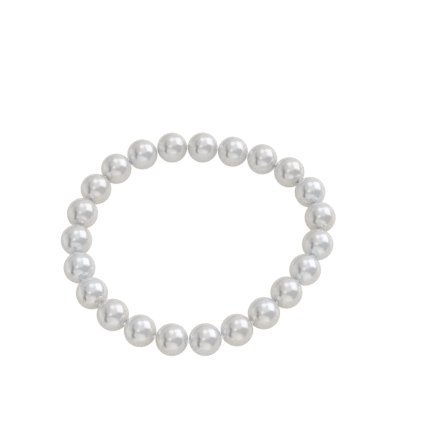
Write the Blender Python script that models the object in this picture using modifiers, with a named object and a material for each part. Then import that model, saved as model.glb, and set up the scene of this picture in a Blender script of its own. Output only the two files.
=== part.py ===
"""A stretch bracelet: one loop of round pearls, drilled through and strung on an elastic thread.

It lies flat, as it does when it is put down. Metres, +Z up. The origin is on the surface that the
pearls rest on, at the middle of the loop, and +X runs along the loop's longer side.
"""

import math

import bpy
from mathutils import Matrix, Vector

# Driving dimensions, in metres
PEARL_DIAMETER = 0.0080
PEARL_GAP = 0.00015
THREAD_DIAMETER = 0.0008
BORE_CLEARANCE = 0.0002
MOUTH_FLARE = 0.00015
PEARL_COUNT = 23

# The lying loop isn't a true circle. Each row adds a wave to its radius, as shares of the mean radius.
# waves round the loop, share that follows the cosine, share that follows the sine
LOOP_WAVES = (
    (2, 0.038, 0.030),
    (3, 0.020, 0.029),
    (4, 0.004, 0.015),
)
FIRST_PEARL_DEGREES = 119.5

# How finely round shapes are faceted. Four divides the sides, so that each pearl rests on a corner,
# and two divides the arc, so that a corner lies on the pearl's widest line.
PEARL_SIDES = 16
PEARL_ARC_SEGMENTS = 10
THREAD_BEVEL_RESOLUTION = 2

# A turned pearl closes on itself where its first and last corners meet. This share of the bore's radius
# is far less than a facet, so no other corners merge.
MERGE_SHARE = 0.01

# How the loop's size is found. It is sought between two shares of a true circle's, and along the loop
# each next pearl is sought within a quarter turn.
SMALLEST_LOOP_SHARE = 0.5
LARGEST_LOOP_SHARE = 2.0
NEXT_PEARL_WITHIN = math.pi / 2
HALVINGS = 50

# What follows from the driving dimensions
PEARL_RADIUS = PEARL_DIAMETER / 2
PITCH = PEARL_DIAMETER + PEARL_GAP
BORE_RADIUS = THREAD_DIAMETER / 2 + BORE_CLEARANCE
MOUTH_RADIUS = BORE_RADIUS + MOUTH_FLARE
MERGE_DISTANCE = MERGE_SHARE * BORE_RADIUS
FIRST_PEARL_ANGLE = math.radians(FIRST_PEARL_DEGREES)
FULL_TURN = 2 * math.pi

# Base colour, roughness and metallic share
PEARL_FINISH = ((0.84, 0.83, 0.81), 0.22, 0.3)
THREAD_FINISH = ((0.90, 0.90, 0.88), 0.35, 0.0)


def clear_scene():
    for obj in list(bpy.data.objects):
        bpy.data.objects.remove(obj)


def make_collection(name):
    collection = bpy.data.collections.new(name)
    bpy.context.scene.collection.children.link(collection)
    return collection


def make_material(name, finish):
    colour, roughness, metallic = finish
    material = bpy.data.materials.new(name)
    material.use_nodes = True
    shader = material.node_tree.nodes["Principled BSDF"]
    shader.inputs["Base Color"].default_value = (*colour, 1.0)
    shader.inputs["Roughness"].default_value = roughness
    shader.inputs["Metallic"].default_value = metallic
    material.diffuse_color = (*colour, 1.0)
    return material


def halved_until_met(low, high, is_below):
    """The value between low and high where is_below stops holding."""
    for _ in range(HALVINGS):
        middle = (low + high) / 2
        if is_below(middle):
            low = middle
        else:
            high = middle
    return (low + high) / 2


# The loop

def loop_point(angle, mean_radius):
    """A point of the line that runs through the pearls' centres."""
    share = 1.0
    for waves, cosine_share, sine_share in LOOP_WAVES:
        share += cosine_share * math.cos(waves * angle)
        share += sine_share * math.sin(waves * angle)
    return Vector((math.cos(angle), math.sin(angle), 0.0)) * mean_radius * share


def string_angles(mean_radius):
    """The angle of each pearl on a loop of this radius, and of the one that would follow the last.

    Each pearl's centre lies one pitch from the one before, measured straight across.
    """
    angles = [FIRST_PEARL_ANGLE]
    for _ in range(PEARL_COUNT):
        here = loop_point(angles[-1], mean_radius)

        def is_nearer_than_a_pitch(angle):
            return (loop_point(angle, mean_radius) - here).length < PITCH

        furthest = angles[-1] + NEXT_PEARL_WITHIN
        angles.append(halved_until_met(angles[-1], furthest, is_nearer_than_a_pitch))
    return angles


def pearl_centres():
    """The pearls' centres, at the one loop size where the last pearl lies a pitch from the first."""
    circle_radius = PITCH / (2 * math.sin(math.pi / PEARL_COUNT))

    def overruns(mean_radius):
        return string_angles(mean_radius)[-1] > FIRST_PEARL_ANGLE + FULL_TURN

    smallest = SMALLEST_LOOP_SHARE * circle_radius
    largest = LARGEST_LOOP_SHARE * circle_radius
    mean_radius = halved_until_met(smallest, largest, overruns)
    points = [loop_point(angle, mean_radius) for angle in string_angles(mean_radius)[:-1]]
    low = Vector((min(p.x for p in points), min(p.y for p in points), 0.0))
    high = Vector((max(p.x for p in points), max(p.y for p in points), 0.0))
    middle = (low + high) / 2
    lift = Vector((0.0, 0.0, PEARL_RADIUS))
    return [point - middle + lift for point in points]


def turn_between(before, after):
    """How far the second direction is turned from the first, anticlockwise as seen from above."""
    return math.atan2(before.cross(after).z, before.dot(after))


def thread_bends(centres):
    """The thread's corners: entry i lies in the gap after pearl i.

    The thread is straight inside each bore and bends only in the gaps, so each corner lies a little
    outside the straight line between its two pearls.
    """
    count = len(centres)
    links = [centres[(i + 1) % count] - centres[i] for i in range(count)]
    turns = [turn_between(links[i - 1], links[i]) for i in range(count)]
    bends = []
    for i in range(count):
        turn = (turns[i] + turns[(i + 1) % count]) / 2
        outward = Vector((links[i].y, -links[i].x, 0.0)).normalized()
        offset = links[i].length / 2 * math.tan(turn / 2)
        bends.append(centres[i] + links[i] / 2 + outward * offset)
    return bends


# The pearls

def pearl_profile():
    """Half of the pearl's section, at +X: down the round outside, then up the bore."""
    mouth_angle = math.asin(MOUTH_RADIUS / PEARL_RADIUS)
    arc = math.pi - 2 * mouth_angle
    outside = []
    for step in range(PEARL_ARC_SEGMENTS + 1):
        angle = mouth_angle + arc * step / PEARL_ARC_SEGMENTS
        outside.append((PEARL_RADIUS * math.sin(angle), PEARL_RADIUS * math.cos(angle)))
    bore_end = outside[0][1] - MOUTH_FLARE
    bore = [(BORE_RADIUS, -bore_end), (BORE_RADIUS, bore_end)]
    return outside + bore


def make_pearl_mesh(material):
    points = pearl_profile()
    count = len(points)
    mesh = bpy.data.meshes.new("pearl_profile")
    edges = [(i, (i + 1) % count) for i in range(count)]
    mesh.from_pydata([(x, 0.0, z) for x, z in points], edges, [])
    mesh.materials.append(material)
    return mesh


def make_pearl(name, mesh, centre, bore_direction, collection):
    pearl = bpy.data.objects.new(name, mesh)
    collection.objects.link(pearl)
    down = Vector((0.0, 0.0, -1.0))
    turned = Matrix((down, bore_direction.cross(down), bore_direction)).transposed()
    pearl.matrix_world = Matrix.Translation(centre) @ turned.to_4x4()
    screw = pearl.modifiers.new("turned", "SCREW")
    screw.axis = "Z"
    screw.steps = PEARL_SIDES
    screw.render_steps = PEARL_SIDES
    screw.use_merge_vertices = True
    screw.merge_threshold = MERGE_DISTANCE
    screw.use_smooth_shade = True
    return pearl


# The thread

def make_thread(bends, material, collection):
    """One closed elastic thread, through every bore."""
    curve = bpy.data.curves.new("thread", "CURVE")
    curve.dimensions = "3D"
    curve.bevel_depth = THREAD_DIAMETER / 2
    curve.bevel_resolution = THREAD_BEVEL_RESOLUTION
    spline = curve.splines.new("POLY")
    spline.points.add(len(bends) - 1)
    for point, bend in zip(spline.points, bends):
        point.co = (*bend, 1.0)
    spline.use_cyclic_u = True
    spline.use_smooth = True
    curve.materials.append(material)
    thread = bpy.data.objects.new("thread", curve)
    collection.objects.link(thread)
    return thread


def main():
    clear_scene()
    collection = make_collection("pearl_bracelet")
    pearl_material = make_material("pearl", PEARL_FINISH)
    thread_material = make_material("elastic", THREAD_FINISH)

    centres = pearl_centres()
    bends = thread_bends(centres)
    pearl_mesh = make_pearl_mesh(pearl_material)
    for i, centre in enumerate(centres):
        bore_direction = (bends[i] - bends[i - 1]).normalized()
        make_pearl(f"pearl_{i + 1:02d}", pearl_mesh, centre, bore_direction, collection)
    make_thread(bends, thread_material, collection)


main()
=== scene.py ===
"""The looks of a stretch bracelet of round imitation pearls, lying on a pale floor.

Each pearl of the plain model is replaced by a finely turned one with a lacquered finish, and the
thread by a smooth elastic one. Metres, +Z up.
"""

import math
import random

import bmesh
import bpy
from mathutils import Matrix, Vector, noise


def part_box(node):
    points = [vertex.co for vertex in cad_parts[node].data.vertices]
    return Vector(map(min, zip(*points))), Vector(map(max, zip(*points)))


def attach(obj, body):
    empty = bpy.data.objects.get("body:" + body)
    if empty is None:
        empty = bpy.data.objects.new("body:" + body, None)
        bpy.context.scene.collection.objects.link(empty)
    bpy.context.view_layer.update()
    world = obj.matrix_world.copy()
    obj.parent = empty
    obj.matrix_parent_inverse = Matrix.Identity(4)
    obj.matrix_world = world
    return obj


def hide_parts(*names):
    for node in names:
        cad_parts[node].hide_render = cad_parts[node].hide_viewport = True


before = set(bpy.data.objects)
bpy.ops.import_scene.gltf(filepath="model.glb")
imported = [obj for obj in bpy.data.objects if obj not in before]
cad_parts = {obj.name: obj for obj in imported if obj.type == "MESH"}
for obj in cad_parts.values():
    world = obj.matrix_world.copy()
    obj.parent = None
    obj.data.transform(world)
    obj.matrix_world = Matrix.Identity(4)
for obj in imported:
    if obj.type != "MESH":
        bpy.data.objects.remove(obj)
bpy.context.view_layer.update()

SEED = 23

# The camera is in front of the bracelet, at -Y, and looks along +Y and down
CAMERA_ELEVATION_DEGREES = 58.1
CAMERA_DISTANCE = 0.346
CAMERA_TARGET_X = 0.0054
CAMERA_TARGET_Y = 0.0058
CLIP_START = 0.01
CLIP_END = 20.0
LENS_MM = 110.0
SENSOR_MM = 36.0

# A pearl's shape: round, with a rounded lip at each mouth of the bore and small waves in the lacquer
BORE_CLEARANCE = 0.0002
LIP_RADIUS = 0.00015
WAVE_HEIGHT = 0.000018
WAVE_LENGTH = 0.0045
WAVE_SHIFT_REACH = 9
PEARL_SIDES = 80
PEARL_ARC_STEPS = 64
LIP_STEPS = 5
BORE_STEPS = 6

# The lacquer. Its hue drifts from warm to cool in soft clouds, and HUE_SHIFT places them.
WARM_LACQUER = (0.937, 0.926, 0.910)
COOL_LACQUER = (0.946, 0.956, 0.972)
HUE_SHIFT = (0.0, 0.0, 0.027)
HUE_CLOUD_SCALE = 60.0
HUE_CLOUD_DETAIL = 1.0
WARM_BELOW = 0.4
COOL_ABOVE = 0.6
LACQUER_METALLIC = 0.5
LACQUER_GRAIN_SCALE = 900.0
LACQUER_GRAIN_DETAIL = 3.0
LACQUER_LEAST_ROUGHNESS = 0.14
LACQUER_MOST_ROUGHNESS = 0.18
LACQUER_COAT = 0.1
LACQUER_COAT_ROUGHNESS = 0.08

# The thread. Its faint glow is painted light, which lightens the contacts between the pearls. It stands for
# light that comes through real pearls. These are opaque.
THREAD_BEVEL_RESOLUTION = 6
THREAD_BEND_STEPS = 4
DULL_ELASTIC = (0.92, 0.92, 0.90)
PALE_ELASTIC = (0.97, 0.97, 0.95)
STREAK_SCALE = 2500.0
STREAK_DETAIL = 2.0
THREAD_ROUGHNESS = 0.38
THREAD_COAT = 0.2
THREAD_SCATTER_WEIGHT = 1.0
THREAD_SCATTER_RADIUS = (1.0, 1.0, 1.0)
THREAD_SCATTER_SCALE = 0.001
THREAD_GLOW = 0.23
THREAD_GLOW_COLOUR = (1.0, 0.995, 0.97)

# The floor and the backdrop. The pearls reflect a pale warm floor, and the camera sees a whiter one.
FLOOR_SIZE = 6.0
FLOOR_COLOUR = (0.665, 0.64, 0.595)
FLOOR_GLOW = 0.34
FLOOR_ROUGHNESS = 0.12
FLOOR_SEEN_COLOUR = (1.15, 1.15, 1.16)
FLOOR_SEEN_SHARE = 0.76
BACKDROP_COLOUR = (0.985, 0.985, 0.985)

# The light is a dome of one colour with cards on it, each laid over those before it. A card is a
# soft-edged patch of light or shade. Angles are in degrees: azimuth 0 is the camera's side and 90 is
# +X, the soft edge reaches as far inwards as outwards, and a card with a positive tilt leans its top
# towards the smaller azimuths.
DOME_COLOUR = (0.55, 0.54, 0.525)
CARDS = (
    # name, round or square, azimuth, elevation, half width, half height, soft edge, tilt, colour
    ("pale card overhead", "round", 100, 80, 24, 24, 9, 0, (0.75, 0.76, 0.79)),
    ("pale card behind", "square", 172, 19, 22, 19, 8, 0, (0.68, 0.675, 0.66)),
    ("shade over the camera", "square", 28, 50, 60, 8, 8, 0, (0.37, 0.37, 0.38)),
    ("shade at the right", "square", 65, 16, 32, 32, 10, 0, (0.37, 0.37, 0.375)),
    ("low shade at the right", "square", 54, 0, 12, 9, 7, 0, (0.28, 0.28, 0.285)),
    ("shade at the back left", "square", -150, -2, 30, 14, 12, 0, (0.38, 0.38, 0.375)),
    ("pale card at the left", "square", -88, 2, 27, 14, 9, 0, (0.78, 0.77, 0.745)),
    ("pale card in front", "round", -8, 4, 40, 42, 4, 0, (0.74, 0.735, 0.72)),
    ("bright card in front", "round", 14, 8, 22, 22, 14, 0, (0.94, 0.94, 0.93)),
    ("shade at the left", "square", -94, 43, 24, 7, 7, 0, (0.26, 0.26, 0.26)),
    ("top of the dark card", "square", -69, 42, 12, 6, 6, 8, (0.0, 0.0, 0.0)),
    ("leaning dark card", "square", -48, 15, 7.5, 26, 5, 21, (0.05, 0.05, 0.05)),
    ("foot of the dark card", "round", -41, 2, 10, 10, 6, 0, (0.0, 0.0, 0.0)),
    ("bright card at the right", "square", 122, 33, 26, 23, 7, -8, (1.27, 1.29, 1.36)),
    ("bright card behind", "round", 180, 60, 15, 17, 7, 0, (1.16, 1.18, 1.22)),
    ("small bright card", "round", -25, 63, 8.5, 8.5, 8, 0, (1.25, 1.25, 1.25)),
)


def direction(azimuth_degrees, elevation_degrees):
    """The unit vector towards an azimuth and elevation round the scene."""
    azimuth = math.radians(azimuth_degrees)
    elevation = math.radians(elevation_degrees)
    level = math.cos(elevation)
    return Vector((math.sin(azimuth) * level, -math.cos(azimuth) * level, math.sin(elevation)))


def opaque(colour):
    return (*colour, 1.0)


def add_object(name, data):
    added = bpy.data.objects.new(name, data)
    bpy.context.scene.collection.objects.link(added)
    return added


class Graph:
    """Short calls for making and joining the nodes of one node tree."""

    def __init__(self, tree):
        self.tree = tree

    def fill(self, node, inputs):
        """Give a node its inputs: the output of another node is linked, and a plain value is set."""
        for socket, value in dict(inputs).items():
            if isinstance(value, bpy.types.NodeSocket):
                self.tree.links.new(value, node.inputs[socket])
            else:
                node.inputs[socket].default_value = value

    def node(self, kind, inputs=(), **settings):
        node = self.tree.nodes.new(kind)
        for name, value in settings.items():
            setattr(node, name, value)
        self.fill(node, inputs)
        return node

    def calculate(self, operation, *values):
        return self.node("ShaderNodeMath", enumerate(values), operation=operation).outputs[0]

    def with_vector(self, operation, vector, fixed):
        inputs = {0: vector, 1: tuple(fixed)}
        return self.node("ShaderNodeVectorMath", inputs, operation=operation)

    def dot(self, vector, fixed):
        return self.with_vector("DOT_PRODUCT", vector, fixed).outputs["Value"]

    def shift(self, vector, fixed):
        return self.with_vector("ADD", vector, fixed).outputs["Vector"]

    def object_place(self):
        return self.node("ShaderNodeTexCoord").outputs["Object"]

    def noise_pattern(self, place, scale, detail):
        inputs = {"Vector": place, "Scale": scale, "Detail": detail}
        return self.node("ShaderNodeTexNoise", inputs).outputs["Fac"]

    def between(self, share, low, high):
        inputs = {"Value": share, "To Min": low, "To Max": high}
        return self.node("ShaderNodeMapRange", inputs).outputs["Result"]

    def smooth_step(self, value, start, end):
        inputs = {"Value": value, "From Min": start, "From Max": end}
        step = self.node("ShaderNodeMapRange", inputs, interpolation_type="SMOOTHSTEP")
        return step.outputs["Result"]

    def mix(self, share, first, second, label=""):
        """Two colours mixed. Inputs 6 and 7 and output 2 are the mix node's colour sockets."""
        inputs = {0: share, 6: first, 7: second}
        return self.node("ShaderNodeMix", inputs, data_type="RGBA", label=label).outputs[2]

    def mix_shaders(self, share, first, second):
        return self.node("ShaderNodeMixShader", {0: share, 1: first, 2: second}).outputs[0]

    def seen_by_camera(self):
        return self.node("ShaderNodeLightPath").outputs["Is Camera Ray"]


# Materials

def new_material(name):
    material = bpy.data.materials.new(name)
    material.use_nodes = True
    shader = material.node_tree.nodes["Principled BSDF"]
    return material, Graph(material.node_tree), shader


def make_floor_material():
    """Pale, warm and faintly glowing, and mostly plain white straight into the camera."""
    material, graph, shader = new_material("floor")
    inputs = {
        "Base Color": opaque(FLOOR_COLOUR),
        "Roughness": FLOOR_ROUGHNESS,
        "Emission Color": opaque(FLOOR_COLOUR),
        "Emission Strength": FLOOR_GLOW,
    }
    graph.fill(shader, inputs)
    seen = graph.node("ShaderNodeEmission", {"Color": opaque(FLOOR_SEEN_COLOUR)}).outputs[0]
    share = graph.calculate("MULTIPLY", graph.seen_by_camera(), FLOOR_SEEN_SHARE)
    surface = graph.mix_shaders(share, shader.outputs[0], seen)
    graph.fill(material.node_tree.nodes["Material Output"], {"Surface": surface})
    return material


def make_pearl_material():
    """White pearl lacquer: a soft silvery reflection under a clear glossy coat."""
    material, graph, shader = new_material("pearl_lacquer")
    place = graph.object_place()
    clouds = graph.noise_pattern(graph.shift(place, HUE_SHIFT), HUE_CLOUD_SCALE, HUE_CLOUD_DETAIL)
    coolness = graph.smooth_step(clouds, WARM_BELOW, COOL_ABOVE)
    grain = graph.noise_pattern(place, LACQUER_GRAIN_SCALE, LACQUER_GRAIN_DETAIL)
    inputs = {
        "Base Color": graph.mix(coolness, opaque(WARM_LACQUER), opaque(COOL_LACQUER)),
        "Metallic": LACQUER_METALLIC,
        "Roughness": graph.between(grain, LACQUER_LEAST_ROUGHNESS, LACQUER_MOST_ROUGHNESS),
        "Coat Weight": LACQUER_COAT,
        "Coat Roughness": LACQUER_COAT_ROUGHNESS,
    }
    graph.fill(shader, inputs)
    return material


def make_thread_material():
    """Milky elastic that light spreads in, with faint streaks and a faint glow of painted light."""
    material, graph, shader = new_material("milky_elastic")
    streaks = graph.noise_pattern(graph.object_place(), STREAK_SCALE, STREAK_DETAIL)
    inputs = {
        "Base Color": graph.mix(streaks, opaque(DULL_ELASTIC), opaque(PALE_ELASTIC)),
        "Roughness": THREAD_ROUGHNESS,
        "Coat Weight": THREAD_COAT,
        "Subsurface Weight": THREAD_SCATTER_WEIGHT,
        "Subsurface Radius": THREAD_SCATTER_RADIUS,
        "Subsurface Scale": THREAD_SCATTER_SCALE,
        # Painted light: a faint glow that lightens the thread in the contacts between the pearls.
        "Emission Color": opaque(THREAD_GLOW_COLOUR),
        "Emission Strength": THREAD_GLOW,
    }
    graph.fill(shader, inputs)
    return material


# Camera, floor and light

def make_camera():
    target = Vector((CAMERA_TARGET_X, CAMERA_TARGET_Y, pearl_radius()))
    towards_camera = direction(0, CAMERA_ELEVATION_DEGREES)
    data = bpy.data.cameras.new("camera")
    data.sensor_fit = "HORIZONTAL"
    data.sensor_width = SENSOR_MM
    data.lens = LENS_MM
    data.clip_start = CLIP_START
    data.clip_end = CLIP_END
    camera = add_object("camera", data)
    camera.location = target + towards_camera * CAMERA_DISTANCE
    camera.rotation_euler = (-towards_camera).to_track_quat("-Z", "Y").to_euler()
    bpy.context.scene.camera = camera


def make_floor():
    mesh = bpy.data.meshes.new("floor")
    shape = bmesh.new()
    bmesh.ops.create_grid(shape, x_segments=1, y_segments=1, size=FLOOR_SIZE / 2)
    shape.to_mesh(mesh)
    shape.free()
    mesh.materials.append(make_floor_material())
    floor = add_object("floor", mesh)


def share_within(graph, angle, half_size, edge):
    """1 where the angle is well under the half size, 0 well over it, and between in the soft edge."""
    return graph.smooth_step(angle, math.radians(half_size + edge), math.radians(half_size - edge))


def card_share(graph, towards, outline, azimuth, elevation, half_width, half_height, edge, tilt):
    """How much of a card lies in each direction: 1 on it, 0 off it, and between in its soft edge."""
    forward = direction(azimuth, elevation)
    bearing = math.radians(azimuth)
    level_right = Vector((math.cos(bearing), math.sin(bearing), 0.0))
    right = Matrix.Rotation(math.radians(tilt), 3, forward) @ level_right
    up = forward.cross(right)
    across = graph.calculate("ARCTAN2", graph.dot(towards, right), graph.dot(towards, forward))
    upward = graph.calculate("ARCSINE", graph.dot(towards, up))
    if outline == "round":
        stretched = graph.calculate("MULTIPLY", across, half_height / half_width)
        squares = [graph.calculate("MULTIPLY", angle, angle) for angle in (stretched, upward)]
        distance = graph.calculate("SQRT", graph.calculate("ADD", *squares))
        return share_within(graph, distance, half_height, edge)
    shares = []
    for angle, half_size in ((across, half_width), (upward, half_height)):
        distance = graph.calculate("ABSOLUTE", angle)
        shares.append(share_within(graph, distance, half_size, edge))
    return graph.calculate("MULTIPLY", *shares)


def make_light():
    """The dome with its cards. Straight into the camera it is a plain backdrop instead."""
    world = bpy.data.worlds.new("studio")
    bpy.context.scene.world = world
    world.use_nodes = True
    world.node_tree.nodes.clear()
    graph = Graph(world.node_tree)
    towards = graph.node("ShaderNodeTexCoord").outputs["Generated"]
    colour = opaque(DOME_COLOUR)
    for name, *card, card_colour in CARDS:
        colour = graph.mix(card_share(graph, towards, *card), colour, opaque(card_colour), name)
    dome = graph.node("ShaderNodeBackground", {"Color": colour}).outputs[0]
    backdrop = graph.node("ShaderNodeBackground", {"Color": opaque(BACKDROP_COLOUR)}).outputs[0]
    seen = graph.mix_shaders(graph.seen_by_camera(), dome, backdrop)
    graph.node("ShaderNodeOutputWorld", {"Surface": seen})
    bpy.context.scene.view_settings.view_transform = "Standard"


# The bracelet's layout, read from the plain model

def pearl_nodes():
    return sorted(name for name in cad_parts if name.startswith("pearl_"))


def pearl_radius():
    low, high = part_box(pearl_nodes()[0])
    return (high[2] - low[2]) / 2


def pearl_centres():
    centres = []
    for node in pearl_nodes():
        low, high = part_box(node)
        centres.append((Vector(low) + Vector(high)) / 2)
    return centres


def thread_radius():
    low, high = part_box("thread")
    return (high[2] - low[2]) / 2


def turn_between(before, after):
    """How far the second direction is turned from the first, anticlockwise as seen from above."""
    return math.atan2(before.cross(after).z, before.dot(after))


def thread_bends(centres):
    """Where the thread bends: entry i lies in the gap after pearl i, a little outside the straight line."""
    count = len(centres)
    links = [centres[(i + 1) % count] - centres[i] for i in range(count)]
    turns = [turn_between(links[i - 1], links[i]) for i in range(count)]
    bends = []
    for i in range(count):
        turn = (turns[i] + turns[(i + 1) % count]) / 2
        outward = Vector((links[i].y, -links[i].x, 0.0)).normalized()
        offset = links[i].length / 2 * math.tan(turn / 2)
        bends.append(centres[i] + links[i] / 2 + outward * offset)
    return bends


# The finely turned pearls

def pearl_profile(radius, bore_radius):
    """Half of a drilled pearl's section, at +X.

    It runs down the round outside, over the lower lip, up the bore and back over the upper lip.
    """
    lip_centre_radius = bore_radius + LIP_RADIUS
    lip_centre_height = math.sqrt((radius - LIP_RADIUS) ** 2 - lip_centre_radius**2)
    mouth_angle = math.atan2(lip_centre_radius, lip_centre_height)
    outside = []
    for step in range(PEARL_ARC_STEPS + 1):
        angle = mouth_angle + (math.pi - 2 * mouth_angle) * step / PEARL_ARC_STEPS
        outside.append((radius * math.sin(angle), radius * math.cos(angle)))
    lip = []
    for step in range(1, LIP_STEPS + 1):
        angle = mouth_angle - (mouth_angle + math.pi / 2) * step / LIP_STEPS
        x = lip_centre_radius + LIP_RADIUS * math.sin(angle)
        z = lip_centre_height + LIP_RADIUS * math.cos(angle)
        lip.append((x, z))
    lower_lip = [(x, -z) for x, z in lip]
    bore_end = lip[-1][1]
    bore = []
    for step in range(1, BORE_STEPS):
        bore.append((bore_radius, -bore_end + 2 * bore_end * step / BORE_STEPS))
    return outside + lower_lip + bore + lip[::-1]


def turned_mesh(name, profile, sides):
    """A closed ring of profile points turned once round the Z axis."""
    mesh = bpy.data.meshes.new(name)
    shape = bmesh.new()
    rings = []
    for x, z in profile:
        ring = []
        for side in range(sides):
            angle = 2 * math.pi * side / sides
            ring.append(shape.verts.new((x * math.cos(angle), x * math.sin(angle), z)))
        rings.append(ring)
    for i, ring in enumerate(rings):
        following = rings[(i + 1) % len(rings)]
        for side in range(sides):
            after = (side + 1) % sides
            shape.faces.new((ring[side], following[side], following[after], ring[after]))
    for face in shape.faces:
        face.smooth = True
    shape.to_mesh(mesh)
    shape.free()
    return mesh


def roughen(mesh, bore_radius, rng):
    """Move the outside in and out a little, as lacquer lies on a moulded pearl.

    The random shift reads the waves from another place in the noise for each pearl.
    """
    shift = Vector([rng.uniform(-WAVE_SHIFT_REACH, WAVE_SHIFT_REACH) for _ in range(3)])
    for vertex in mesh.vertices:
        from_axis = Vector((vertex.co.x, vertex.co.y)).length
        if from_axis > bore_radius + LIP_RADIUS:
            wave = noise.noise(vertex.co / WAVE_LENGTH + shift)
            vertex.co += vertex.co.normalized() * WAVE_HEIGHT * wave


def make_pearls(material):
    centres = pearl_centres()
    bends = thread_bends(centres)
    bore_radius = thread_radius() + BORE_CLEARANCE
    profile = pearl_profile(pearl_radius(), bore_radius)
    rng = random.Random(SEED)
    for i, node in enumerate(pearl_nodes()):
        name = node.replace("pearl", "lacquered_pearl")
        mesh = turned_mesh(name, profile, PEARL_SIDES)
        roughen(mesh, bore_radius, rng)
        along = (bends[i] - bends[i - 1]).normalized()
        spin = Matrix.Rotation(rng.uniform(0, 2 * math.pi), 4, "Z")
        turn = along.to_track_quat("Z", "Y").to_matrix().to_4x4()
        mesh.transform(Matrix.Translation(centres[i]) @ turn @ spin)
        mesh.materials.append(material)
        pearl = add_object(name, mesh)
        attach(pearl, "root")
        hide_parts(node)


# The smooth thread

def thread_points():
    """Points along the thread, with a short smooth curve in place of each corner."""
    bends = thread_bends(pearl_centres())
    bend_reach = thread_radius()
    points = []
    for i, bend in enumerate(bends):
        before = (bends[i - 1] - bend).normalized() * bend_reach
        after = (bends[(i + 1) % len(bends)] - bend).normalized() * bend_reach
        for step in range(THREAD_BEND_STEPS + 1):
            share = step / THREAD_BEND_STEPS
            points.append(bend + before * (1 - share) ** 2 + after * share**2)
    return points


def make_thread(material):
    """One closed elastic, through every bore."""
    points = thread_points()
    curve = bpy.data.curves.new("elastic_thread", "CURVE")
    curve.dimensions = "3D"
    curve.bevel_depth = thread_radius()
    curve.bevel_resolution = THREAD_BEVEL_RESOLUTION
    spline = curve.splines.new("POLY")
    spline.points.add(len(points) - 1)
    for spline_point, point in zip(spline.points, points):
        spline_point.co = (*point, 1.0)
    spline.use_cyclic_u = True
    spline.use_smooth = True
    curve.materials.append(material)
    thread = add_object("elastic_thread", curve)
    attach(thread, "root")
    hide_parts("thread")


make_camera()
make_floor()
make_light()
make_pearls(make_pearl_material())
make_thread(make_thread_material())
